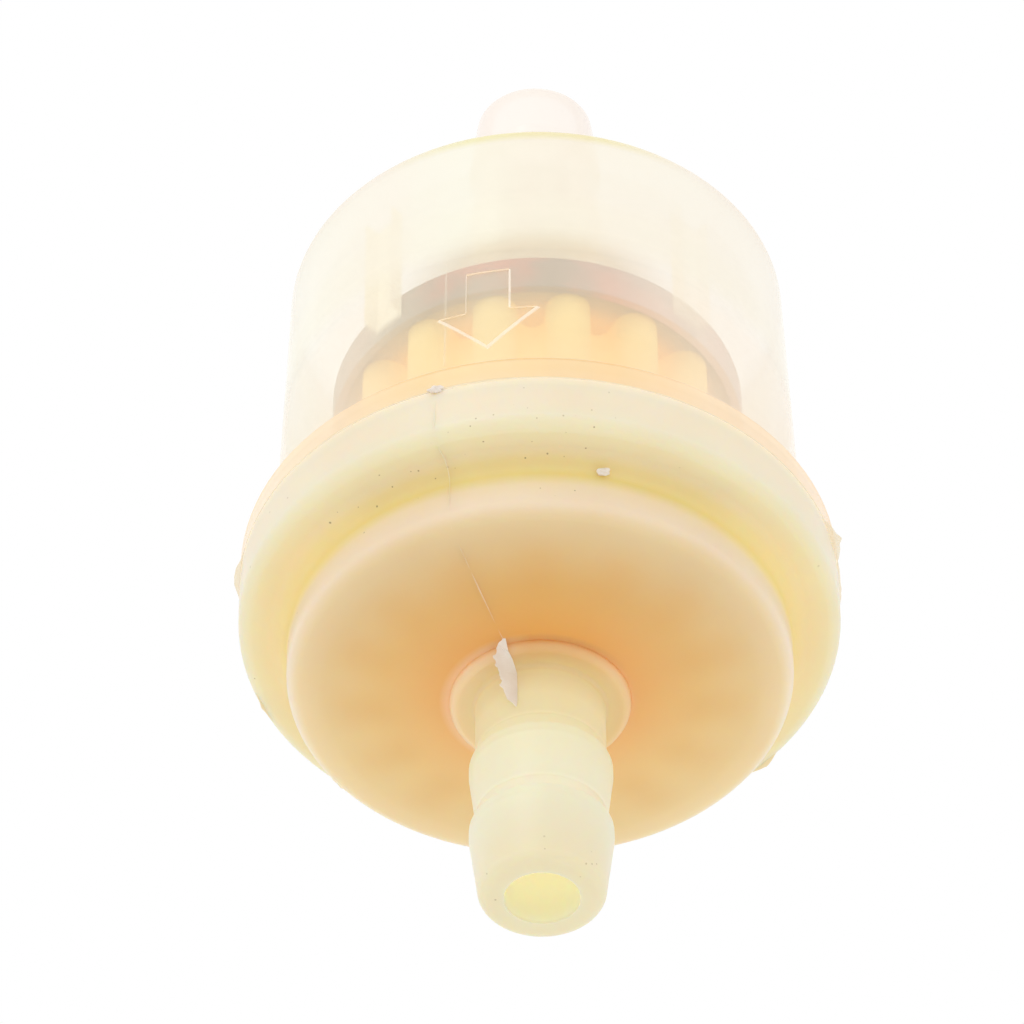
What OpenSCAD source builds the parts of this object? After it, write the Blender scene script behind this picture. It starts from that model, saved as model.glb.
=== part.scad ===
// Inline fuel filter for a small engine, in millimetres.
// A clear cup with the inlet nipple is welded to a cream cap with the outlet nipple.
// Between them stands a pleated paper element: its foot is set in resin on the cap's floor,
// and its head is set in resin in a dark end cap, which four ribs of the cup keep centred.
// Z is the axis. The outlet's mouth is at z = 0, and fuel runs from the inlet at the top
// to the outside of the paper, through the paper and out at the bottom.

/* [Hose nipples] */
// Bore of both nipples
bore_d = 4.2; // [3:0.1:5]
// Diameter over the barbs, which stretch a 6 mm hose
barb_d = 8; // [7.6:0.1:10]
// Height of a barb above the neck
barb_rise = 0.35; // [0.2:0.05:0.6]
// How much smaller the mouth's radius is than the barbs'
mouth_taper = 0.53; // [0.3:0.01:0.8]
// Rounding of the mouth's outer edge
mouth_round = 0.6; // [0.2:0.1:0.9]
// From the mouth to the middle of the first barb
barb_start = 4.5; // [3:0.1:5.5]
// From the first barb to the second
barb_pitch = 4.6; // [3.6:0.1:6]
// Straight length on the top of each barb
barb_land = 0.6; // [0.3:0.1:1]
// Length of the shoulder behind each barb
barb_shoulder = 1; // [0.5:0.1:1.4]
// Outlet nipple from its mouth to its collar
outlet_len = 14; // [12.5:0.1:24]
// Inlet nipple from its mouth to its collar
inlet_len = 15; // [12.5:0.1:24]
// How far the collar stands out from the neck
collar_lip = 1.45; // [0.8:0.05:2.5]
// Height of the collar above the cone that it stands on
collar_h = 0.55; // [0.3:0.05:1.2]
// Height of the shallow cone at each end of the body
cone_h = 1.05; // [0.5:0.05:3]

/* [Cap] */
// Wall of the cap
cap_wall = 1.6; // [1:0.1:2.4]
// Height of the boss below the flange
boss_h = 3.9; // [3:0.1:8]
// Rounding of the boss's lower edge
boss_round = 0.9; // [0.4:0.1:1.4]
// Cove between the boss and the flange
cove_r = 1.2; // [0.4:0.1:1.4]
// Thickness of the cap's flange
cap_flange_h = 3.6; // [2.8:0.1:6]
// Rounding of the flange's lower edge
cap_flange_round = 0.8; // [0.2:0.1:1]

/* [Cup] */
// Wall of the cup
cup_wall = 1.4; // [0.9:0.1:2.2]
// Height of the cup above its flange
cup_h = 21.8; // [18:0.1:60]
// Draft of the cup's wall, in degrees
draft = 1.7; // [0.5:0.1:4]
// Rounding of the cup's upper edge
cup_round = 0.7; // [0.4:0.1:1.6]
// Thickness of the cup's flange
cup_flange_h = 1.7; // [1.2:0.1:3]
// How far both flanges stand out from the cup's wall
flange_lip = 1.8; // [1.2:0.1:3]
// Length of the spigot below the cup's flange
spigot_h = 2; // [1:0.1:2.4]
// Thickness of the spigot
spigot_t = 0.9; // [0.6:0.1:1.2]
// Clearance round the spigot
spigot_fit = 0.05; // [0.02:0.01:0.2]
// Gap under the spigot
spigot_gap = 0.2; // [0.1:0.05:0.5]
// Width of the weld bead
bead_w = 0.8; // [0.4:0.1:1.1]
// Height of the weld bead, half in each flange
bead_h = 0.4; // [0.2:0.1:0.8]

/* [Locating ribs] */
// Number of ribs
ribs = 4; // [3:1:8]
// Angle of the first rib from the front
rib_turn = 45; // [0:1:90]
// Width of a rib
rib_w = 2.2; // [1.5:0.1:4]
// Radial depth of a rib at the top of the cup
rib_depth = 1.1; // [0.6:0.05:2]
// Clearance between the ribs and the end cap
rib_fit = 0.1; // [0.05:0.05:0.4]
// How far the ribs reach below the end cap
rib_reach = 0.1; // [0:0.1:3]

/* [Element] */
// Diameter over the pleats
element_d = 22.6; // [18:0.1:40]
// Radial depth of the pleats
pleat_depth = 3.3; // [2.6:0.1:5]
// Number of pleats
pleats = 15; // [10:1:20]
// Share of the circle that the crests take
crest_share = 0.5; // [0.4:0.02:0.65]
// Angle of the first crest from the front
pleat_turn = 10; // [0:1:36]
// Thickness of the paper
paper_t = 0.5; // [0.3:0.05:0.7]
// Space between the pleats and the cap's wall
element_gap = 1.35; // [0.6:0.05:2]
// Space between the cup's ceiling and the end cap
headroom = 6.9; // [2:0.1:10]
// Height of the end cap
end_cap_h = 2.4; // [2:0.1:5]
// Thickness of the end cap's plate
end_cap_t = 0.8; // [0.4:0.1:1]
// Wall of the end cap's rim
end_cap_wall = 0.45; // [0.3:0.05:1]
// Resin between the pleats and the end cap's rim
head_gap = 0.25; // [0.1:0.05:0.8]
// Depth from the end cap's rim up to the resin
head_recess = 0.3; // [0.1:0.1:0.6]
// Depth of the resin bed on the cap's floor
foot_bed = 1.5; // [1.2:0.1:2.5]
// Resin below or above the ends of the pleats
resin_floor = 0.4; // [0.2:0.1:0.7]
// Space between the pleats and the dam that holds the resin
dam_gap = 0.6; // [0.3:0.1:1]
// Thickness of the dam
dam_t = 0.8; // [0.5:0.1:1.5]

/* [Hidden] */
$fn = 96;
// Degrees between the points of a rounded edge, and of a fold in the paper
edge_step = 7.5;
fold_step = 15;

// Radii
bore_r = bore_d / 2;
barb_r = barb_d / 2;
neck_r = barb_r - barb_rise;
mouth_r = barb_r - mouth_taper;
collar_r = neck_r + collar_lip;
collar_round = collar_h * 0.9;
paper_r = element_d / 2;
paper_in_r = paper_r - pleat_depth;
cavity_r = paper_r + element_gap;
boss_r = cavity_r + cap_wall;
dam_r = paper_in_r - dam_gap;
rim_in_r = paper_r + head_gap;
end_cap_r = rim_in_r + end_cap_wall;
rib_r = end_cap_r + rib_fit;
ceiling_r = rib_r + rib_depth;

// Levels
cone_z = outlet_len + collar_h;
boss_z = cone_z + cone_h;
floor_z = boss_z + cap_wall;
cap_flange_z = boss_z + boss_h;
joint_z = cap_flange_z + cap_flange_h;
cup_flange_z = joint_z + cup_flange_h;
cup_top_z = cup_flange_z + cup_h;
ceiling_z = cup_top_z - cup_wall;
top_cone_z = cup_top_z + cone_h;
inlet_z = top_cone_z + collar_h + inlet_len;
end_cap_top = ceiling_z - headroom;
end_cap_z = end_cap_top - end_cap_h;
plate_z = end_cap_top - end_cap_t;
head_resin_z = end_cap_z + head_recess;
paper_top = plate_z - resin_floor;
foot_resin_top = floor_z + foot_bed;
paper_z = floor_z + resin_floor;

// The cup's wall leans out towards its flange.
function inside_r(z) = ceiling_r + (cup_top_z - z) * tan(draft);
function outside_r(z) = inside_r(z) + cup_wall;
spigot_r = inside_r(joint_z) + spigot_t;
counterbore_r = spigot_r + spigot_fit;
flange_r = outside_r(cup_flange_z) + flange_lip;
bead_r = (counterbore_r + flange_r) / 2;

// Pleats: a round crest and a round valley, whose flanks run nearly along the radius
pleat_pitch = 360 / pleats;
crest_sin = sin(pleat_pitch * crest_share / 2);
valley_sin = sin(pleat_pitch * (1 - crest_share) / 2);
crest_at = (paper_r - paper_t / 2) / (1 + crest_sin);
valley_at = (paper_in_r + paper_t / 2) / (1 - valley_sin);
crest_bend = crest_at * crest_sin;
valley_bend = valley_at * valley_sin;

function unit(v) = v / norm(v);
function polar(r, a) = r * [cos(a), sin(a)];
function flat(p) = [p.x, p.y];

// Points of an arc from angle a to angle b
function arc(centre, r, a, b, step) =
    let (n = max(2, ceil(abs(b - a) / step)))
    [for (i = [0:n]) centre + polar(r, a + (b - a) * i / n)];

// The corner b of an outline a, b, c, rounded with the radius in b[2]
function corner(a, b, c) =
    b[2] == undef ? [b] :
    let (u = unit(flat(a) - flat(b)),
         v = unit(flat(c) - flat(b)),
         half = acos(u * v) / 2,
         centre = flat(b) + unit(u + v) * b[2] / sin(half),
         from = flat(b) + u * b[2] / tan(half) - centre,
         to = flat(b) + v * b[2] / tan(half) - centre,
         start = atan2(from.y, from.x),
         turn = (atan2(to.y, to.x) - start + 540) % 360 - 180)
    arc(centre, b[2], start, start + turn, edge_step);

// An outline whose corners are [r, z], or [r, z, rounding]
function rounded(path) =
    let (n = len(path))
    [for (i = [0:n - 1]) each corner(path[(i + n - 1) % n], path[i], path[(i + 1) % n])];

// Outside of a nipple from its mouth to its neck. [r, distance from the mouth]
function barb(at) = [
    [barb_r, at - barb_land / 2],
    [barb_r, at + barb_land / 2, barb_rise],
    [neck_r, at + barb_land / 2 + barb_shoulder, barb_rise]];
nipple = concat(
    [[bore_r, 0], [mouth_r, 0, mouth_round]],
    barb(barb_start),
    barb(barb_start + barb_pitch));

// The nipple with its collar, up to the cone that it stands on
function nipple_outline(length) = concat(
    nipple,
    [[neck_r, length, collar_h / 2],
     [collar_r, length, collar_round],
     [collar_r, length + collar_h]]);

function place(path, z, way) = [for (p = path)
    p[2] == undef ? [p.x, z + way * p.y] : [p.x, z + way * p.y, p[2]]];
function backwards(path) = [for (i = [len(path) - 1:-1:0]) path[i]];

// Groove for half of the weld bead, in a flange's face. The way is +1 or -1.
function groove(way) = [
    [bead_r - bead_w / 2, joint_z],
    [bead_r - bead_w / 2, joint_z + way * bead_h / 2],
    [bead_r + bead_w / 2, joint_z + way * bead_h / 2],
    [bead_r + bead_w / 2, joint_z]];

cap_outline = concat(
    nipple_outline(outlet_len),
    [[boss_r, boss_z, boss_round],
     [boss_r, cap_flange_z, cove_r],
     [flange_r, cap_flange_z, cap_flange_round],
     [flange_r, joint_z]],
    backwards(groove(-1)),
    [[counterbore_r, joint_z],
     [counterbore_r, joint_z - spigot_h - spigot_gap],
     [cavity_r, joint_z - spigot_h - spigot_gap],
     [cavity_r, floor_z],
     [dam_r, floor_z],
     [dam_r, foot_resin_top],
     [dam_r - dam_t, foot_resin_top],
     [dam_r - dam_t, floor_z],
     [bore_r, outlet_len + cap_wall]]);

cup_outline = concat(
    [[bore_r, top_cone_z - cup_wall],
     [collar_r, top_cone_z - cup_wall],
     [inside_r(ceiling_z), ceiling_z, cup_wall / 2],
     [inside_r(joint_z - spigot_h), joint_z - spigot_h],
     [spigot_r, joint_z - spigot_h],
     [spigot_r, joint_z]],
    groove(1),
    [[flange_r, joint_z],
     [flange_r, cup_flange_z, cup_flange_h / 6],
     [outside_r(cup_flange_z), cup_flange_z, cup_flange_h / 4],
     [outside_r(cup_top_z), cup_top_z, cup_round]],
    backwards(place(nipple_outline(inlet_len), inlet_z, -1)));

// Points of one side of the paper. The offset is half of the thickness, out or in.
function crest(i, offset) =
    let (a = pleat_turn - 90 + i * pleat_pitch)
    arc(polar(crest_at, a), crest_bend + offset, a - 90, a + 90, fold_step);
function valley(i, offset) =
    let (a = pleat_turn - 90 + (i + 0.5) * pleat_pitch)
    arc(polar(valley_at, a), valley_bend - offset, a + 270, a + 90, fold_step);
function paper_side(offset) =
    [for (i = [0:pleats - 1]) each concat(crest(i, offset), valley(i, offset))];

module paper_section() {
    difference() {
        polygon(paper_side(paper_t / 2));
        polygon(paper_side(-paper_t / 2));
    }
}

module between(z_low, z_high) {
    translate([0, 0, z_low])
        linear_extrude(z_high - z_low)
            children();
}

// A rib runs down the inside of the wall from the ceiling.
module rib() {
    low = end_cap_z - rib_reach;
    high = ceiling_z + cup_wall / 2;
    angle = 2 * asin(rib_w / 2 / ceiling_r);
    rotate([0, 0, -90 - angle / 2])
        rotate_extrude(angle = angle)
            polygon([
                [rib_r, low],
                [inside_r(low) + cup_wall / 2, low],
                [inside_r(high) + cup_wall / 2, high],
                [rib_r, high]]);
}

// Clear housing with the inlet nipple, the ribs, the flange and the spigot
module cup() {
    color([0.97, 0.93, 0.83, 0.35]) {
        rotate_extrude()
            polygon(rounded(cup_outline));
        for (i = [0:ribs - 1])
            rotate([0, 0, rib_turn + i * 360 / ribs])
                rib();
    }
}

// Cream moulding with the outlet nipple, the boss, the flange and the resin dam
module lower_cap() {
    color([0.92, 0.83, 0.62])
        rotate_extrude()
            polygon(rounded(cap_outline));
}

// Ring of remelted plastic that joins the two flanges
module weld_bead() {
    color([0.96, 0.86, 0.66])
        translate([0, 0, joint_z - bead_h / 2])
            difference() {
                cylinder(h = bead_h, r = bead_r + bead_w / 2);
                translate([0, 0, -bead_h])
                    cylinder(h = bead_h * 3, r = bead_r - bead_w / 2);
            }
}

// Pleated paper, whose two ends are set in resin
module filter_paper() {
    color([0.98, 0.85, 0.62])
        between(paper_z, paper_top)
            paper_section();
}

// Glue in one valley at the back, where the ends of the paper strip meet
module paper_seam() {
    back = floor(pleats / 2);
    color([0.93, 0.78, 0.5])
        between(foot_resin_top, head_resin_z)
            polygon(valley(back, paper_t / 2));
}

// Closed dark cap over the head of the element: fuel has to pass through the paper.
module end_cap() {
    color([0.45, 0.36, 0.31])
        difference() {
            between(end_cap_z, end_cap_top)
                circle(end_cap_r);
            between(end_cap_z - end_cap_h, plate_z)
                circle(rim_in_r);
        }
}

// Resin in the end cap, round the upper ends of the pleats
module head_resin() {
    color([0.38, 0.25, 0.19])
        difference() {
            between(head_resin_z, plate_z)
                circle(rim_in_r);
            between(head_resin_z - end_cap_h, paper_top)
                paper_section();
        }
}

// Ring of resin on the cap's floor, round the lower ends of the pleats
module foot_resin() {
    color([0.82, 0.6, 0.33])
        difference() {
            between(floor_z, foot_resin_top)
                circle(cavity_r);
            between(floor_z - foot_bed, foot_resin_top + foot_bed)
                circle(dam_r);
            between(paper_z, foot_resin_top + foot_bed)
                paper_section();
        }
}

cup();
lower_cap();
weld_bead();
filter_paper();
paper_seam();
end_cap();
head_resin();
foot_resin();
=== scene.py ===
"""Inline fuel filter: materials, small trim, light and camera

Lengths are in metres. Inside the materials, places on the filter are in millimetres.
"""

import math

import bmesh
import bpy
from mathutils import Matrix, Vector, noise
from mathutils.bvhtree import BVHTree


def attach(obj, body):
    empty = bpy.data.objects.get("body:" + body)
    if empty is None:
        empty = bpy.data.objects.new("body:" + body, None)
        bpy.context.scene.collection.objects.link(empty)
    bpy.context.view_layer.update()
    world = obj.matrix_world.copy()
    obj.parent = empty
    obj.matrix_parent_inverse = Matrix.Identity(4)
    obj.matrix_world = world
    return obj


MM = 0.001

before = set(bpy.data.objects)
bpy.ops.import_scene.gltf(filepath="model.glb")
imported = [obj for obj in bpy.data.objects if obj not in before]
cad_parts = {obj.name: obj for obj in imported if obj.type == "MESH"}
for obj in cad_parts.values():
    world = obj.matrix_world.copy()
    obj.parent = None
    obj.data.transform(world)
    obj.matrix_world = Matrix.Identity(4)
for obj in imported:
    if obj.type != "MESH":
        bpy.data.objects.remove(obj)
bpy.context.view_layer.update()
scene = bpy.context.scene

# Camera, fitted to the photograph: it stands below the filter and looks up at it
CAMERA_ELEVATION = math.radians(-45.06)
CAMERA_DISTANCE = 349.4 * MM
CAMERA_AIM_Z = 29.69 * MM
CAMERA_SIDE = -1.523 * MM
CAMERA_ROLL = math.radians(-0.33)
CAMERA_LENS = 212.8
CAMERA_SENSOR = 36
CAMERA_NEAR = 0.01

# Light: an even white surround and a soft key in front
SURROUND = 0.95
KEY_POWER = 0.5
KEY_SIZE = 0.5
KEY_PLACE = (-0.25, -0.6, 0.45)
KEY_AIM = (0, 0, 0.03)

# Floor, well below the filter
FLOOR_HALF = 6.0
FLOOR_Z = -0.6

# Sizes of the mouldings that the trim follows, as in the CAD model
FLANGE_Z = 19.5 * MM
FLANGE_R = 17.05 * MM
FLANGE_ROUND = 0.8 * MM
JOINT_Z = 23.1 * MM
CUP_TOP_Z = 46.6 * MM
CUP_TOP_R = 14.6 * MM
CUP_DRAFT = math.radians(1.7)

# What the colours follow: the bores' radius in millimetres and the number of pleats
BORE = 2.1
FOLDS = 15

# Share of the cup's veil that keeps light out of the cup
LIGHT_LOST = 0.35

# Painted light, as emission strengths: light that comes through plastic and paper, and glow that lifts
# the shade at the ceiling, in the cap's corners and along the weld
WALL_GLOW = 0.05
FLANGE_GLOW = 0.1
RIB_GLOW = 0.12
CEILING_GLOW = 0.3
ARROW_GLOW = 0.2
COLLAR_GLOW = 0.02
NECK_GLOW = 0.05
COVE_GLOW = 0.03
JOINT_GLOW = 0.08
PAPER_GLOW = 0.25

# Raised flow arrow on the cup's wall, pointing at the outlet
ARROW_AZIMUTH = math.radians(-10.8)
ARROW_TIP_Z = 27.65 * MM
ARROW_HEAD_Z = 30.9 * MM
ARROW_TAIL_Z = 34.2 * MM
ARROW_HEAD_W = 6.0 * MM
ARROW_STEM_W = 2.6 * MM
ARROW_RELIEF = 0.15 * MM
ARROW_SUNK = 0.05 * MM
ARROW_CHAMFER = 0.1 * MM
ARROW_CUTS = 12

# Mould's parting line: its azimuth on the cup, at the flange and at the nipple
PARTING_CUP = math.radians(-20.3)
PARTING_RIM = math.radians(-19.6)
PARTING_NECK = math.radians(-22)

# Burrs on the weld's flash and on the flange's lower edge: azimuth, half width in degrees, reach in mm
WELD_BURRS = ((76, 6, 0.5), (91, 12, 0.16), (-85, 7, 0.33))
EDGE_BURRS = ((129.5, 3.5, 0.28), (-137, 3.0, 0.25), (-110, 4.0, 0.12))

# Ragged plastic: waves of noise in a metre, and the share of a size that they change
BURR_WAVES = 1500
BURR_RAGGED = 0.45
RIDGE_WAVES = 700
RIDGE_EVEN = 0.4
RIDGE_RAGGED = 1.2
FIN_WAVES = 3000
FIN_FINE_WAVES = 8000
FIN_FINE = 0.6
FIN_RAGGED = 0.2
CRUMB_WAVES = 6000
CRUMB_RAGGED = 0.6
CRUMB_STRETCH = 1.5

# Lip along the weld: its reach in mm, what long and short waves add to it, and their number in a metre
WELD_LIP = 0.02
WELD_LONG = 0.04
WELD_SHORT = 0.01
WELD_LONG_WAVES = 160
WELD_SHORT_WAVES = 500

# Half thickness of a lip or burr at its root, and how much it grows with the reach
LIP_HALF = 0.07 * MM
LIP_GROWTH = 0.3

# Torn fin: its azimuth, its thickness and the share of it that is left at the free edge
FIN_AZIMUTH = math.radians(-20.5)
FIN_THICKNESS = 0.06 * MM
FIN_TAPER = 0.6

# The fin's held edge and free edge, from the collar down: distance from the axis, sideways, height, in mm
FIN_HELD = (
    (5.5, 0, 14.6), (5.12, 0, 14.0), (4.46, 0, 13.95), (3.75, 0, 13.5),
    (3.69, 0, 12.3), (3.7, 0, 11.5), (3.8, 0, 10.95))
FIN_FREE = (
    (5.55, 0.1, 14.6), (5.6, 0.4, 14.25), (5.57, 0.7, 13.15), (5.06, 0.6, 12.65),
    (4.65, 0.58, 12.05), (4.17, 0.35, 11.3), (3.85, 0.05, 10.95))


def srgb(r, g, b):
    """A colour given as 0 to 255, in linear light"""
    def one(v):
        v = v / 255
        return v / 12.92 if v <= 0.04045 else ((v + 0.055) / 1.055) ** 2.4
    return (one(r), one(g), one(b), 1.0)


class Shader:
    """A material with one Principled node, and short ways to add nodes to it"""

    def __init__(self, name):
        self.material = bpy.data.materials.new(name)
        self.material.use_nodes = True
        self.tree = self.material.node_tree
        self.bsdf = self.tree.nodes["Principled BSDF"]

    def node(self, kind, **values):
        n = self.tree.nodes.new(kind)
        for key, value in values.items():
            setattr(n, key, value)
        return n

    def link(self, source, target):
        self.tree.links.new(source, target)

    def feed(self, value, socket):
        """A link from a node's output, or a plain value"""
        if isinstance(value, bpy.types.NodeSocket):
            self.link(value, socket)
        else:
            socket.default_value = value

    def put(self, name, value):
        self.feed(value, self.bsdf.inputs[name])

    def position(self):
        return self.node("ShaderNodeTexCoord").outputs["Object"]

    def place(self):
        """Where a point is, in millimetres: x, y, height and distance from the filter's axis"""
        split = self.node("ShaderNodeSeparateXYZ")
        self.link(self.position(), split.inputs[0])
        x, y, z = (self.times(length, 1 / MM) for length in split.outputs)
        r = self.math("SQRT", self.math("ADD", self.times(x, x), self.times(y, y)))
        return x, y, z, r

    def math(self, operation, a, b=0.0):
        n = self.node("ShaderNodeMath", operation=operation)
        self.feed(a, n.inputs[0])
        self.feed(b, n.inputs[1])
        return n.outputs[0]

    def times(self, value, *others):
        """Product of masks and numbers"""
        for other in others:
            value = self.math("MULTIPLY", value, other)
        return value

    def most(self, value, *others):
        """The largest of some values"""
        for other in others:
            value = self.math("MAXIMUM", value, other)
        return value

    def span(self, value, low, high, to_low=0.0, to_high=1.0):
        """A value's way from low to high as a number from to_low to to_high, and no further"""
        n = self.node("ShaderNodeMapRange")
        n.inputs["From Min"].default_value = low
        n.inputs["From Max"].default_value = high
        n.inputs["To Min"].default_value = to_low
        n.inputs["To Max"].default_value = to_high
        self.link(value, n.inputs["Value"])
        return n.outputs["Result"]

    def band(self, value, start, full, hold, end):
        """A mask that rises from start to full and falls from hold to end"""
        return self.times(self.span(value, start, full), self.span(value, end, hold))

    def noise(self, scale, detail=4.0, roughness=0.55, stretch=None):
        n = self.node("ShaderNodeTexNoise")
        n.inputs["Scale"].default_value = scale
        n.inputs["Detail"].default_value = detail
        n.inputs["Roughness"].default_value = roughness
        where = self.position()
        if stretch:
            mapping = self.node("ShaderNodeMapping")
            mapping.inputs["Scale"].default_value = stretch
            self.link(where, mapping.inputs["Vector"])
            where = mapping.outputs[0]
        self.link(where, n.inputs["Vector"])
        return n.outputs["Fac"]

    def grain(self, scale, low=0.0, high=1.0):
        """Noise, spread out from low to high"""
        return self.span(self.noise(scale), 0.3, 0.7, low, high)

    def specks(self, scale, radius, above):
        """Sparse dots: one in some cells of a random grid"""
        cells = self.node("ShaderNodeTexVoronoi")
        cells.inputs["Scale"].default_value = scale
        self.link(self.position(), cells.inputs["Vector"])
        dot = self.span(cells.outputs["Distance"], radius, radius * 0.6)
        return self.times(dot, self.span(self.noise(90, detail=2), above, above + 0.02))

    def along(self, value, stops):
        """Linear colours along a value: stops are (value, colour)"""
        low, high = stops[0][0], stops[-1][0]
        n = self.node("ShaderNodeValToRGB")
        elements = n.color_ramp.elements
        while len(elements) < len(stops):
            elements.new(0.5)
        for element, (level, colour) in zip(elements, stops):
            element.position = (level - low) / (high - low)
            element.color = colour
        self.link(self.span(value, low, high), n.inputs["Fac"])
        return n.outputs["Color"]

    def ramp(self, value, stops):
        """Colours along a value: stops are (value, red, green, blue), with colours as 0 to 255"""
        return self.along(value, [(level, srgb(*colour)) for level, *colour in stops])

    def steps(self, value, stops):
        """Numbers along a value: stops are (value, number)"""
        return self.along(value, [(level, (v, v, v, 1.0)) for level, v in stops])

    def mix(self, factor, a, b, blend="MIX"):
        n = self.node("ShaderNodeMix", data_type="RGBA", blend_type=blend)
        self.feed(factor, n.inputs[0])
        self.feed(a, n.inputs[6])
        self.feed(b, n.inputs[7])
        return n.outputs[2]

    def paint(self, base, colour, *masks):
        """A colour over another one where all masks meet; a number among them is its share"""
        return self.mix(self.times(*masks), base, colour)

    def bump(self, height, strength, distance):
        n = self.node("ShaderNodeBump")
        n.inputs["Strength"].default_value = strength
        n.inputs["Distance"].default_value = distance
        self.link(height, n.inputs["Height"])
        self.link(n.outputs["Normal"], self.bsdf.inputs["Normal"])


def over_element(s, z):
    """The part of the cup's wall that has the element behind it"""
    return s.span(z, 36.5, 34.5)


def cup_tint(s, x, z, rim_highlight):
    """Colours of the cup: orange at the flange, pale yellow on the wall, white at the inlet, with painted
    highlights on the front of the rim and on the wall's sides
    """
    tint = s.ramp(z, (
        (21.0, 250, 232, 196),  # spigot
        (23.2, 250, 232, 196),
        (23.8, 250, 228, 184),  # flange
        (24.55, 250, 227, 182),
        (24.67, 208, 156, 88),  # line along its upper edge
        (24.78, 250, 227, 182),
        (25.6, 250, 238, 206),  # wall
        (30.0, 249, 244, 216),
        (38.0, 247, 244, 223),
        (45.4, 247, 244, 224),
        (47.4, 252, 240, 220),  # ceiling
        (49.0, 251, 242, 231),  # inlet
        (63.2, 250, 243, 234)))
    # Painted highlight: the wall's sides are painted paler, beginning nearer to the middle on the right
    aside = s.math("ADD", s.math("ABSOLUTE", x), s.span(x, 0, 3, 0.0, 2.0))
    tint = s.paint(tint, srgb(255, 244, 224), s.span(aside, 6.5, 11.5), over_element(s, z), 0.55)
    # Painted highlight along the front of the top rim
    tint = s.paint(tint, srgb(242, 236, 178), rim_highlight)
    cloud = s.span(s.noise(70, stretch=(1, 1, 0.2)), 0.4, 0.6, 0.0, 0.5)
    return s.mix(cloud, tint, s.mix(1.0, tint, srgb(255, 244, 246), "MULTIPLY"))


def cup_veil(s, x, z, r, rim_highlight, ceiling, rib):
    """How milky the cup is: on its outside, and hardly at all on its inside"""
    veil = s.steps(z, (
        (21.0, 0.55),  # spigot and flange
        (24.58, 0.55),
        (24.67, 0.7),  # line along the flange's upper edge
        (24.76, 0.55),
        (25.6, 0.56),  # wall
        (29.0, 0.44),
        (35.8, 0.44),
        (36.9, 0.69),
        (37.8, 0.82),  # wall above the element
        (39.4, 0.82),
        (41.0, 0.72),
        (45.4, 0.72),
        (46.0, 0.6),  # rim
        (46.5, 0.5),
        (46.7, 0.2),  # ceiling
        (48.0, 0.3),  # inlet
        (50.0, 0.5),
        (56.0, 0.8),
        (63.2, 0.85)))
    # The painted rim highlight is also milkier
    veil = s.math("ADD", veil, s.times(rim_highlight, 0.16))
    # Seen at a slant, the wall is thicker and so milkier
    slant = s.node("ShaderNodeLayerWeight").outputs["Facing"]
    # Painted highlight: a little more milkiness toward the right
    slant = s.math("ADD", slant, s.span(x, 2, 7, 0.0, 0.05))
    on_wall = s.times(over_element(s, z), s.span(z, 23.9, 24.6))
    veil = s.math("ADD", veil, s.times(on_wall, s.span(slant, 0.4, 0.56, 0.0, 0.17)))
    veil = s.times(veil, s.span(ceiling, 0.0, 1.0, 1.0, 0.75))
    inside = s.times(s.span(r, 14.35, 14.2), s.span(z, 46.1, 45.8))
    inside = s.most(inside, s.span(r, BORE * 1.3, BORE * 1.15))
    # Inside, only the ribs are milky, down to their points
    milky = s.times(rib, s.span(x, -4, -7, 0.5, 1.3), s.span(z, 36.2, 36.8))
    lost = s.times(inside, s.math("SUBTRACT", 1.0, s.math("ADD", milky, 0.1)))
    return s.times(veil, s.math("SUBTRACT", 1.0, lost))


def clear_plastic():
    """Clear cup, hidden in part by a pale veil"""
    s = Shader("clear_plastic")
    x, y, z, r = s.place()
    at_front = s.times(s.span(y, 0, -6), s.span(s.math("ABSOLUTE", x), 9, 4))
    # Painted highlight: a pale line on the top rim, on its front only
    rim_highlight = s.times(s.band(z, 45.5, 46.0, 46.6, 46.9), at_front)
    ceiling = s.times(s.band(z, 46.3, 46.5, 47.2, 47.6), s.span(r, 14.0, 13.4))
    rib = s.times(s.span(r, 13.1, 13.0), s.span(z, 45.1, 45.0))
    inlet_root = s.times(s.band(z, 46.9, 47.3, 51.0, 56.0), s.span(r, 5.6, 4.6))
    at_flange = s.span(z, 25.4, 24.7)
    s.put("Base Color", cup_tint(s, x, z, rim_highlight))
    # The veil scatters light and hardly absorbs it, so most of the light gets into the cup
    path = s.node("ShaderNodeLightPath")
    lighting = s.most(path.outputs["Is Shadow Ray"], path.outputs["Is Diffuse Ray"])
    veil = cup_veil(s, x, z, r, rim_highlight, ceiling, rib)
    s.put("Alpha", s.times(veil, s.span(lighting, 0.0, 1.0, 1.0, LIGHT_LOST)))
    s.put("Emission Color", s.mix(at_flange, srgb(255, 242, 222), srgb(255, 218, 150)))
    s.put("Emission Strength", s.most(
        s.span(at_flange, 0.0, 1.0, WALL_GLOW, FLANGE_GLOW),
        s.times(rib, RIB_GLOW),
        s.times(s.most(ceiling, inlet_root), CEILING_GLOW)))
    s.put("IOR", 1.45)
    s.put("Roughness", s.grain(160, 0.06, 0.14))
    s.bump(s.noise(220, detail=2), 0.05, 0.2 * MM)
    return s.material


def glinting_edge():
    """Edges of the raised arrow, which catch the light: a painted highlight, pale and glowing"""
    s = Shader("glinting_edge")
    s.put("Base Color", s.mix(s.noise(500), srgb(255, 248, 236), srgb(255, 251, 244)))
    s.put("Emission Color", srgb(255, 244, 230))
    s.put("Emission Strength", ARROW_GLOW)
    s.put("Alpha", 0.6)
    s.put("Roughness", 0.3)
    return s.material


def cove_sides(s, y, z, r):
    """Sides and back of the corner where the cap's flange and boss meet"""
    return s.times(s.band(z, 17.4, 18.0, 19.5, 20.0), s.span(r, 16.9, 15.2), s.span(y, -12, -7))


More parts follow.
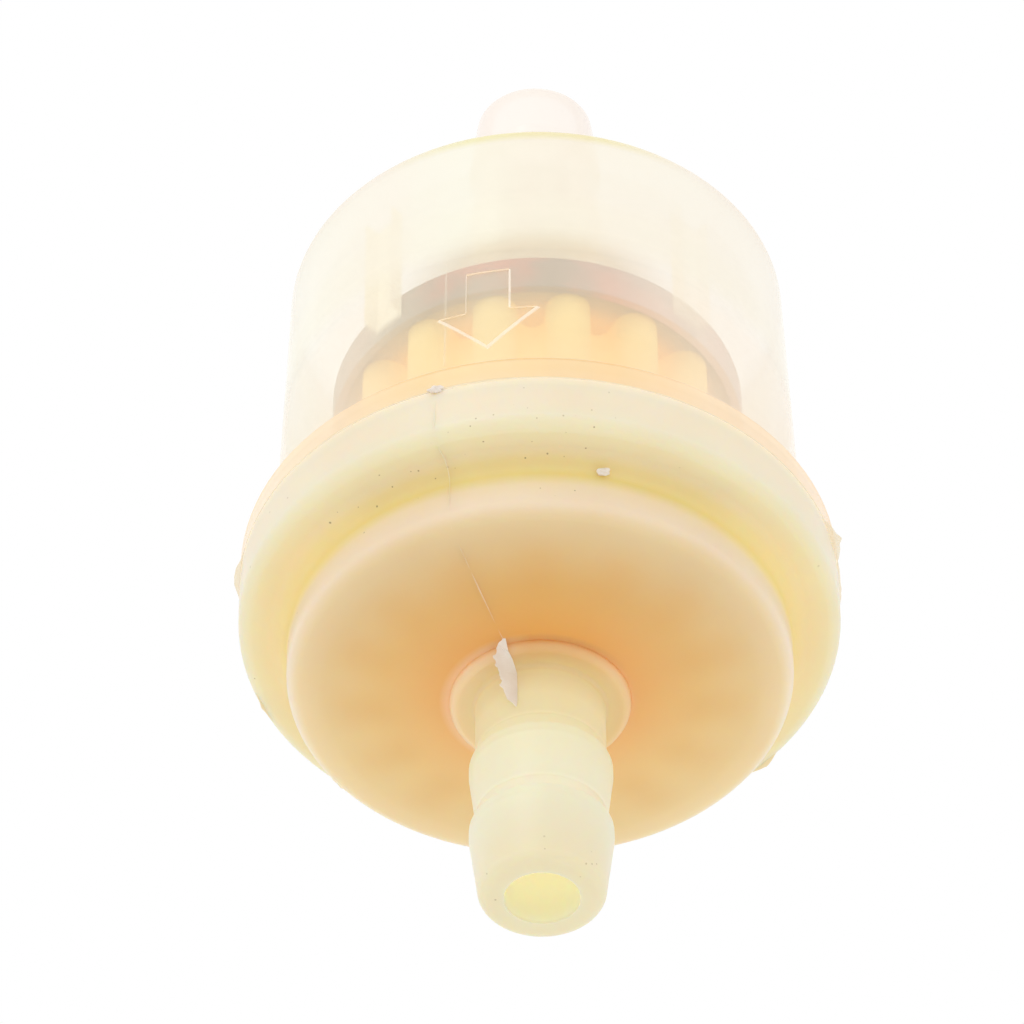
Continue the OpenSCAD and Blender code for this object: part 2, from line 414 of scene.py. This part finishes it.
def cap_colours(s, x, y, z, r):
    """Colours of the cap: pale at the rim, with a painted glow of the orange element through the face,
    and painted shade and highlights on the cove, rim and collar
    """
    base = s.ramp(z, (
        (0.0, 235, 226, 195),  # mouth
        (4.7, 237, 236, 212),  # lower barb
        (4.95, 247, 245, 224),  # step behind it, painted paler to lift its shade
        (5.6, 247, 245, 224),
        (6.1, 240, 237, 212),  # upper barb
        (9.3, 243, 240, 210),
        (9.55, 249, 244, 212),  # step behind it, painted paler to lift its shade
        (10.2, 249, 244, 212),
        (10.7, 243, 236, 200),  # neck
        (12.0, 246, 238, 200),
        (13.6, 240, 226, 180),
        (14.0, 240, 206, 152),  # collar
        (14.3, 234, 185, 122),
        (14.6, 234, 170, 80),  # face, next to the collar, orange with the painted glow of the element behind it
        (15.0, 232, 186, 112),
        (15.5, 232, 209, 163),  # face, further out
        (16.0, 239, 218, 190),  # boss's rounded rim
        (16.6, 241, 221, 194),
        (17.6, 245, 224, 188),  # boss's wall
        (18.4, 242, 223, 146),  # corner under the flange, painted darker and yellower as its shade
        (19.2, 240, 228, 166),
        (19.5, 239, 230, 194),  # flange
        (20.2, 238, 231, 206),
        (21.8, 244, 232, 206),
        (23.1, 244, 232, 206)))
    # Painted shade in the front of the corner under the flange, and painted light at its sides and back
    under = s.times(s.span(r, 15.8, 14.6), s.band(z, 18.7, 19.0, 19.6, 19.8))
    under = s.times(under, s.span(y, -6, -12, -0.3, 0.25))
    base = s.paint(base, srgb(232, 206, 136), s.most(under, 0.0))
    base = s.paint(base, srgb(255, 232, 158), cove_sides(s, y, z, r), 0.4)
    # Painted highlight on the boss's rounded rim, strongest at the sides and back
    rim_highlight = s.band(z, 15.35, 15.7, 16.6, 17.0)
    base = s.paint(base, srgb(255, 236, 216), rim_highlight, s.span(y, -9, 2, 0.0, 0.6))
    # The light comes through the face more evenly at its sides and its back
    behind = s.times(s.span(y, -9, 6), s.band(z, 14.3, 14.5, 15.4, 15.8))
    base = s.paint(base, srgb(255, 226, 162), behind, 0.48)
    # Collar: painted shade in front, a painted highlight on its edge, and a painted reflection on the
    # left
    in_front = s.times(s.span(y, -2.5, -4.6), s.span(r, 5.6, 5.3), s.span(z, 13.7, 13.95))
    base = s.paint(base, srgb(218, 164, 98), in_front, 0.55)
    edge = s.times(s.band(r, 4.7, 5.0, 5.15, 5.3), s.band(z, 13.9, 14.0, 14.4, 14.6))
    base = s.paint(base, srgb(248, 216, 176), edge, s.span(y, -5, -3, 0.1, 0.45))
    on_left = s.times(s.span(x, -0.5, -3.0), s.span(r, 5.7, 5.3), s.span(z, 13.0, 13.6))
    base = s.paint(base, srgb(255, 236, 204), on_left, 0.3)
    neck_root = s.times(s.span(r, 4.8, 3.9), s.span(z, 13.2, 13.9))
    base = s.paint(base, srgb(228, 222, 166), neck_root, 0.6)
    # Shadows of the pleats behind the face
    folds = s.span(s.math("SINE", s.times(s.math("ARCTAN2", y, x), FOLDS)), -1, 1)
    on_face = s.times(s.band(r, 7.4, 9.0, 11.0, 12.6), s.span(z, 15.7, 15.5))
    base = s.paint(base, srgb(232, 178, 100), on_face, folds, 0.22)
    return s.mix(s.grain(140, 0.0, 0.08), base, srgb(226, 186, 130), "MULTIPLY")


def cream_plastic():
    """Cap and outlet: translucent plastic with a painted glow in the bore, at the collar's foot and the
    neck, in the cove and next to the weld
    """
    s = Shader("cream_plastic")
    x, y, z, r = s.place()
    # Painted light: the bore is painted pale, and glows, for light through its wall
    in_bore = s.times(s.span(r, BORE * 1.05, BORE * 1.01), s.span(z, 0.02, 0.25))
    base = s.paint(cap_colours(s, x, y, z, r), srgb(244, 240, 214), in_bore)
    # Dirt on the mouth, the boss and the flange
    dusty = s.steps(z, (
        (0.0, 0.5), (1.0, 0.5), (1.6, 0.0), (16.6, 0.0), (17.2, 0.8), (19.0, 0.8), (22.0, 0.3)))
    dirt = s.most(s.specks(700, 0.06, 0.47), s.specks(1500, 0.1, 0.54))
    s.put("Base Color", s.paint(base, srgb(158, 136, 88), dirt, dusty))
    s.put("Emission Color", s.mix(in_bore, srgb(255, 214, 140), srgb(250, 245, 214)))
    bore_glow = s.steps(z, ((0.0, 0.02), (1.2, 0.07), (2.4, 0.15), (4.4, 0.2)))
    collar_foot = s.times(s.band(r, 4.9, 5.05, 5.15, 5.4), s.band(z, 14.0, 14.3, 14.7, 15.0))
    neck = s.times(s.span(r, 4.4, 3.9), s.span(z, 13.3, 13.8), s.span(r, BORE * 1.2, BORE * 1.3))
    s.put("Emission Strength", s.most(
        s.times(in_bore, bore_glow),
        s.times(collar_foot, COLLAR_GLOW),
        s.times(neck, NECK_GLOW),
        s.times(cove_sides(s, y, z, r), COVE_GLOW),
        s.span(z, 22.5, 23.05, 0.0, JOINT_GLOW)))
    s.put("Subsurface Weight", 0.8)
    s.put("Subsurface Scale", 2.0 * MM)
    s.put("Subsurface Radius", (1.0, 0.75, 0.4))
    s.put("IOR", 1.5)
    s.put("Roughness", s.grain(180, 0.3, 0.45))
    s.bump(s.noise(900, detail=3), 0.06, 0.1 * MM)
    return s.material


def cap_hairline():
    """The cap's own colours, a little paler as painted light for the glow that this piece, too fine to
    scatter light, cannot give
    """
    s = Shader("cap_hairline")
    pale = s.span(s.noise(400), 0.35, 0.65, 0.1, 0.4)
    s.put("Base Color", s.mix(pale, cap_colours(s, *s.place()), srgb(255, 248, 238)))
    s.put("Roughness", 0.4)
    return s.material


def thin_plastic(name, dark, light, cover):
    """Shreds and hairlines too thin to scatter light; cover is how much they hide"""
    s = Shader(name)
    s.put("Base Color", s.mix(s.grain(900), dark, light))
    s.put("Alpha", cover)
    s.put("Roughness", 0.5)
    return s.material


def paper():
    """Resin-treated paper, painted paler in its valleys to lift their shade, with a painted glow for the
    light from behind it that comes through
    """
    s = Shader("filter_paper")
    _, _, _, r = s.place()
    fibre = s.noise(1400, detail=6, roughness=0.7)
    fleck = s.span(fibre, 0.3, 0.7)
    valley = s.mix(fleck, srgb(247, 219, 136), srgb(249, 227, 154))
    crest = s.mix(fleck, srgb(231, 194, 108), srgb(233, 203, 124))
    s.put("Base Color", s.mix(s.span(r, 8.6, 10.8), valley, crest))
    s.put("Emission Color", srgb(255, 212, 118))
    s.put("Emission Strength", PAPER_GLOW)
    s.put("Roughness", 0.9)
    s.bump(fibre, 0.2, 0.1 * MM)
    return s.material


def dark_plastic():
    """Mottled brown end cap, with painted reflections that make it paler at its sides"""
    s = Shader("dark_plastic")
    x, _, _, _ = s.place()
    blotch = s.ramp(s.noise(150, detail=5), (
        (0.34, 154, 136, 126), (0.48, 164, 134, 124), (0.6, 208, 124, 108)))
    blotch = s.paint(blotch, srgb(192, 184, 168), s.span(x, -6, -9, 0.0, 0.75))
    s.put("Base Color", s.paint(blotch, srgb(234, 214, 210), s.span(x, 1, 7.5, 0.0, 0.7)))
    s.put("Roughness", s.grain(300, 0.4, 0.6))
    s.bump(s.noise(700), 0.15, 0.1 * MM)
    return s.material


def cast_finish(s):
    """Gloss and waves of resin that set in place"""
    s.put("Roughness", s.grain(320, 0.25, 0.5))
    s.bump(s.noise(260, detail=2), 0.2, 0.2 * MM)


def resin(name, dark, light):
    s = Shader(name)
    s.put("Base Color", s.mix(s.grain(200), dark, light))
    cast_finish(s)
    return s.material


def head_resin():
    """Resin in the end cap: painted shade that darkens it at the rim, and painted light from the paper
    further in
    """
    s = Shader("head_resin")
    _, _, _, r = s.place()
    colour = s.ramp(r, (
        (8.0, 255, 226, 160), (9.6, 255, 220, 150), (10.6, 206, 180, 142), (11.8, 172, 158, 138)))
    s.put("Base Color", s.mix(s.grain(200, 0.0, 0.2), colour, srgb(230, 190, 130)))
    cast_finish(s)
    return s.material


materials = {
    "cup": clear_plastic(),
    "lower_cap": cream_plastic(),
    "weld_bead": resin("weld_plastic", srgb(255, 230, 184), srgb(255, 238, 204)),
    "filter_paper": paper(),
    "paper_seam": resin("seam_glue", srgb(248, 210, 134), srgb(252, 220, 154)),
    "end_cap": dark_plastic(),
    "head_resin": head_resin(),
    "foot_resin": resin("foot_resin", srgb(255, 218, 146), srgb(255, 226, 160)),
}
for name, material in materials.items():
    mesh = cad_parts[name].data
    mesh.materials.clear()
    mesh.materials.append(material)

clear_hairline = thin_plastic("clear_hairline", srgb(255, 246, 226), srgb(255, 250, 236), 0.15)
clear_face = thin_plastic("clear_face", srgb(255, 244, 218), srgb(255, 246, 226), 0.05)
weld_lip = thin_plastic("weld_lip", srgb(255, 240, 206), srgb(255, 246, 220), 0.5)
shred = thin_plastic("shred", srgb(246, 226, 178), srgb(250, 234, 196), 1.0)
white_shred = thin_plastic("white_shred", srgb(238, 226, 214), srgb(246, 238, 228), 1.0)


def at(r, azimuth, z):
    """A point at a distance from the axis; the azimuth runs from the front (-Y) toward +X"""
    return Vector((r * math.sin(azimuth), -r * math.cos(azimuth), z))


def add_piece(name, slot, mesh, *finishes):
    for finish in finishes:
        mesh.materials.append(finish)
    piece = bpy.data.objects.new(name, mesh)
    scene.collection.objects.link(piece)
    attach(piece, "root")


def finished_mesh(name, work):
    """A mesh from a bmesh, which is freed"""
    mesh = bpy.data.meshes.new(name)
    work.to_mesh(mesh)
    work.free()
    return mesh


def skin(name, sections, closed=False):
    """A closed mesh over equal rings of points; the last ring joins the first, or both ends get a face"""
    count = len(sections[0])
    faces = []
    for i in range(len(sections) if closed else len(sections) - 1):
        here, there = i * count, (i + 1) % len(sections) * count
        for k in range(count):
            n = (k + 1) % count
            faces.append((here + k, here + n, there + n, there + k))
    if not closed:
        last = (len(sections) - 1) * count
        faces.append(tuple(range(count))[::-1])
        faces.append(tuple(range(last, last + count)))
    mesh = bpy.data.meshes.new(name)
    mesh.from_pydata([p for section in sections for p in section], [], faces)
    work = bmesh.new()
    work.from_mesh(mesh)
    bmesh.ops.recalc_face_normals(work, faces=work.faces)
    work.to_mesh(mesh)
    work.free()
    return mesh


def surface(name):
    """A CAD node's surface, for rays"""
    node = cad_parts[name]
    return BVHTree.FromPolygons([node.matrix_world @ v.co for v in node.data.vertices],
                                [tuple(p.vertices) for p in node.data.polygons])


def cup_radius(z):
    return CUP_TOP_R + (CUP_TOP_Z - z) * math.tan(CUP_DRAFT)


def arrow_outline(tip, right):
    """An arrow's corners, from its tip and the corners on its right side"""
    return [(0, tip)] + right + [(-u, z) for u, z in reversed(right)]


def flow_arrow():
    """A raised arrow with chamfered edges, bent round the cup's wall"""
    half_head, half_stem = ARROW_HEAD_W / 2, ARROW_STEM_W / 2
    slope = math.atan2(half_head, ARROW_HEAD_Z - ARROW_TIP_Z)
    foot = arrow_outline(ARROW_TIP_Z, [
        (half_head, ARROW_HEAD_Z), (half_stem, ARROW_HEAD_Z), (half_stem, ARROW_TAIL_Z)])
    c = ARROW_CHAMFER
    tip = c / math.sin(slope)
    wing = c / math.tan((math.pi / 2 - slope) / 2)
    face = arrow_outline(ARROW_TIP_Z + tip, [
        (half_head - wing, ARROW_HEAD_Z - c), (half_stem - c, ARROW_HEAD_Z - c),
        (half_stem - c, ARROW_TAIL_Z - c)])
    work = bmesh.new()
    low = [work.verts.new((u, -ARROW_SUNK, z)) for u, z in foot]
    high = [work.verts.new((u, ARROW_RELIEF, z)) for u, z in face]
    work.faces.new(low)
    work.faces.new(high[::-1])
    for i in range(len(low)):
        n = (i + 1) % len(low)
        edge = work.faces.new((low[n], low[i], high[i], high[n]))
        edge.material_index = 1
    for i in range(1, ARROW_CUTS):
        u = ARROW_HEAD_W * (i / ARROW_CUTS - 0.5)
        everything = work.verts[:] + work.edges[:] + work.faces[:]
        bmesh.ops.bisect_plane(work, geom=everything, plane_co=(u, 0, 0), plane_no=(1, 0, 0))
    bmesh.ops.recalc_face_normals(work, faces=work.faces)
    for v in work.verts:
        u, relief, z = v.co
        r = cup_radius(z)
        v.co = at(r + relief, ARROW_AZIMUTH + u / r, z)
    mesh = finished_mesh("flow_arrow", work)
    add_piece("flow_arrow", "clear_plastic", mesh, clear_face, glinting_edge())


def burr_reach(burrs, azimuth):
    """How far the burrs stand out at an azimuth, with a ragged edge"""
    reach = 0.0
    for middle, half, tallest in burrs:
        away = abs((math.degrees(azimuth) - middle + 180) % 360 - 180)
        reach = max(reach, tallest * max(0.0, 1 - away / half))
    ragged = noise.noise(at(FLANGE_R, azimuth, 0) * BURR_WAVES)
    return reach * MM * (1 + BURR_RAGGED * ragged)


def weld_reach(azimuth):
    """How far the weld's lip stands out at an azimuth"""
    short = noise.noise(at(FLANGE_R, azimuth, 0) * WELD_SHORT_WAVES)
    long = noise.noise(at(FLANGE_R, azimuth, 0.1) * WELD_LONG_WAVES)
    lip = WELD_LIP + WELD_SHORT * short + WELD_LONG * long
    return lip * MM + burr_reach(WELD_BURRS, azimuth)


def edge_flash(name, slot, finish, r, z, lean, sunk, azimuths, reach, closed):
    """A ragged lip of squeezed-out plastic along a round edge, leaning down by an angle"""
    sections = []
    for azimuth in azimuths:
        d = reach(azimuth)
        half = LIP_HALF + LIP_GROWTH * d
        lip = ((-sunk, half), (0.6 * d, 0.6 * half), (d, 0), (0.6 * d, -0.5 * half), (-sunk, -half))
        sections.append([at(r + out * math.cos(lean) + up * math.sin(lean), azimuth,
                            z - out * math.sin(lean) + up * math.cos(lean)) for out, up in lip])
    add_piece(name, slot, skin(name, sections, closed), finish)


def flashes():
    """The lip along the weld, and the burrs on the flange's rounded lower edge"""
    turns = 900
    azimuths = [2 * math.pi * i / turns for i in range(turns)]
    edge_flash("weld_flash", "weld_plastic", weld_lip, FLANGE_R, JOINT_Z, lean=0.0, sunk=0.02 * MM,
               azimuths=azimuths, reach=weld_reach, closed=True)
    lean = math.radians(45)
    r = FLANGE_R - FLANGE_ROUND * (1 - math.cos(lean))
    z = FLANGE_Z + FLANGE_ROUND * (1 - math.sin(lean))
    steps = 24
    for i, burr in enumerate(EDGE_BURRS):
        middle, half, _ = burr
        azimuths = [math.radians(middle + half * (2 * k / steps - 1)) for k in range(steps + 1)]
        edge_flash("edge_burr_%d" % (i + 1), "cream_plastic", shred, r, z, lean=lean, sunk=0.1 * MM,
                   azimuths=azimuths, reach=lambda azimuth: burr_reach((burr,), azimuth), closed=False)


def ridge(name, slot, finish, hits, half_width, tall):
    """A fine raised line through surface points with their normals"""
    sections = []
    for i, (point, normal) in enumerate(hits):
        ahead = hits[min(i + 1, len(hits) - 1)][0] - hits[max(i - 1, 0)][0]
        side = ahead.cross(normal).normalized() * half_width
        rise = tall * (RIDGE_EVEN + RIDGE_RAGGED * noise.noise(point * RIDGE_WAVES))
        sunk = point - normal * tall
        sections.append([sunk + side, point + normal * rise, sunk - side])
    add_piece(name, slot, skin(name, sections), finish)


def hit(solid, middle, out):
    """Where a ray from outside meets a surface on its way to a point, and the normal there"""
    far = 60 * MM
    point, normal, _, _ = solid.ray_cast(middle + out * far, -out)
    return point, normal


def parting_lines():
    """Hairlines where the mould's halves met: down the cup, and over the cap to the nipple's collar"""
    cap, cup = surface("lower_cap"), surface("cup")
    # The cap's rays point at a place inside its flange. They swing from level to straight down in the
    # first part of the line, and then move in over the face.
    aim_r, aim_z, end_r = 8.0, 22 * MM, 5.3
    level, down = 1, -90
    swing = 0.75
    hits = []
    steps = 120
    for i in range(steps + 1):
        t = i / steps
        azimuth = PARTING_RIM + (PARTING_NECK - PARTING_RIM) * t
        if t < swing:
            turn = math.radians(level + (down - level) * t / swing)
            middle = at(aim_r * MM, azimuth, aim_z)
            out = at(math.cos(turn), azimuth, math.sin(turn))
        else:
            middle = at((aim_r - (aim_r - end_r) * (t - swing) / (1 - swing)) * MM, azimuth, aim_z)
            out = Vector((0, 0, -1))
        hits.append(hit(cap, middle, out))
    ridge("cap_parting_line", "cream_plastic", cap_hairline(), hits,
          half_width=0.09 * MM, tall=0.05 * MM)
    low, high = 27, 37
    out = at(1, PARTING_CUP, 0)
    hits = []
    steps = 40
    for i in range(steps + 1):
        z = (low + (high - low) * i / steps) * MM
        hits.append(hit(cup, Vector((0, 0, z)), out))
    ridge("cup_parting_line", "clear_plastic", clear_hairline, hits,
          half_width=0.06 * MM, tall=0.03 * MM)


def fin_point(edge, t):
    """A point on one of the torn fin's edges, with t from 0 at the collar to 1"""
    k = min(int(t * (len(edge) - 1)), len(edge) - 2)
    part = t * (len(edge) - 1) - k
    r, off, z = (a + (b - a) * part for a, b in zip(edge[k], edge[k + 1]))
    side = at(-1, FIN_AZIMUTH + math.pi / 2, 0)
    return at(r * MM, FIN_AZIMUTH, z * MM) + side * (off * MM)


def torn_fin():
    """A leaf of flash, torn loose along one side: it hangs from the collar to the neck"""
    sections = []
    steps = 48
    for i in range(steps + 1):
        a, b = fin_point(FIN_HELD, i / steps), fin_point(FIN_FREE, i / steps)
        ragged = noise.noise(b * FIN_WAVES) + FIN_FINE * noise.noise(b * FIN_FINE_WAVES)
        b += (b - a) * FIN_RAGGED * ragged
        across = (b - a).cross(Vector((0, 0, 1))).normalized() * (FIN_THICKNESS / 2)
        thin = across * FIN_TAPER
        sections.append([a + across, b + thin, b - thin, a - across])
    add_piece("torn_fin", "cream_plastic", skin("torn_fin", sections), white_shred)


def crumb(name, middle, size):
    """A loose crumb of plastic"""
    work = bmesh.new()
    bmesh.ops.create_icosphere(work, subdivisions=3, radius=size / 2)
    for v in work.verts:
        v.co *= 1 + CRUMB_RAGGED * noise.noise(v.co * CRUMB_WAVES + middle / MM)
        v.co.x *= CRUMB_STRETCH
        v.co += middle
    add_piece(name, "cream_plastic", finished_mesh(name, work), white_shred)


flow_arrow()
flashes()
parting_lines()
torn_fin()
crumb("cove_crumb", at(14.55 * MM, math.radians(14), 18.6 * MM), 0.44 * MM)
crumb("joint_crumb", at(FLANGE_R, math.radians(-19.4), JOINT_Z), 0.55 * MM)


def build_world():
    """An even surround that the camera, reflections and clear surfaces see as white"""
    world = bpy.data.worlds.new("surround")
    world.use_nodes = True
    tree = world.node_tree
    back = tree.nodes["Background"]
    path = tree.nodes.new("ShaderNodeLightPath")
    seen = path.outputs["Is Camera Ray"]
    for other in ("Is Glossy Ray", "Is Transmission Ray"):
        add = tree.nodes.new("ShaderNodeMath")
        add.operation = "MAXIMUM"
        tree.links.new(seen, add.inputs[0])
        tree.links.new(path.outputs[other], add.inputs[1])
        seen = add.outputs[0]
    level = tree.nodes.new("ShaderNodeMapRange")
    level.inputs["To Min"].default_value = SURROUND
    tree.links.new(seen, level.inputs["Value"])
    tree.links.new(level.outputs["Result"], back.inputs["Strength"])
    back.inputs["Color"].default_value = (1, 1, 1, 1)
    scene.world = world


def area_lamp(name, place, aim, size, power):
    data = bpy.data.lights.new(name, "AREA")
    data.shape = "DISK"
    data.size = size
    data.energy = power
    lamp = bpy.data.objects.new(name, data)
    lamp.location = place
    lamp.rotation_euler = (Vector(aim) - Vector(place)).to_track_quat("-Z", "Y").to_euler()
    scene.collection.objects.link(lamp)


def build_floor():
    corners = ((-1, -1), (1, -1), (1, 1), (-1, 1))
    mesh = bpy.data.meshes.new("floor")
    mesh.from_pydata([(x * FLOOR_HALF, y * FLOOR_HALF, FLOOR_Z) for x, y in corners], [], [(0, 1, 2, 3)])
    floor = bpy.data.objects.new("floor", mesh)
    scene.collection.objects.link(floor)
    s = Shader("floor")
    s.put("Base Color", s.mix(s.noise(3), srgb(250, 250, 249), srgb(252, 252, 252)))
    s.put("Roughness", 0.9)
    mesh.materials.append(s.material)


def build_camera():
    data = bpy.data.cameras.new("camera")
    data.lens = CAMERA_LENS
    data.sensor_width = CAMERA_SENSOR
    data.clip_start = CAMERA_NEAR
    camera = bpy.data.objects.new("camera", data)
    back = Vector((0, -math.cos(CAMERA_ELEVATION), math.sin(CAMERA_ELEVATION)))
    aim = Vector((CAMERA_SIDE, 0, CAMERA_AIM_Z))
    turn = back.to_track_quat("Z", "Y").to_matrix().to_4x4()
    camera.matrix_world = (Matrix.Translation(aim + back * CAMERA_DISTANCE) @ turn
                           @ Matrix.Rotation(CAMERA_ROLL, 4, "Z"))
    scene.collection.objects.link(camera)
    scene.camera = camera


build_world()
area_lamp("key", KEY_PLACE, KEY_AIM, KEY_SIZE, KEY_POWER)
build_floor()
build_camera()
scene.view_settings.view_transform = "Standard"
